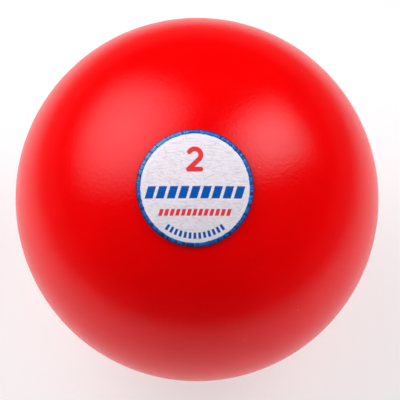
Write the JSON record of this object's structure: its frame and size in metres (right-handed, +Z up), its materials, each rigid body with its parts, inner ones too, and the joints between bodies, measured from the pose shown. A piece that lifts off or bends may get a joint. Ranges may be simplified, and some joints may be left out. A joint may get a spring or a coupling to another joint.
{
  "type": "soft shot put",
  "caption": "Soft indoor shot put: a red flexible moulded ball filled with heavy granules through a plugged neck, with a round edge-stitched label.",
  "frame": {"origin": "centre of the flat patch that the ball stands on, at floor level", "axes": "+Z up; the label faces -Y, 66 degrees above the floor; X runs across the label"},
  "size_m": [0.12, 0.12, 0.1202],
  "materials": {
    "shell_pvc": "satin",
    "plug_pvc": "satin",
    "granules": "matte",
    "label_cloth": "satin",
    "edge_thread": "satin",
    "adhesive": "satin"
  },
  "bodies": {
    "root": {"shell": "shell_pvc", "filler_plug": "plug_pvc", "granule_filling": "granules", "label": "label_cloth", "label_edge": "edge_thread", "label_adhesive": "adhesive"}
  },
  "joints": []
}
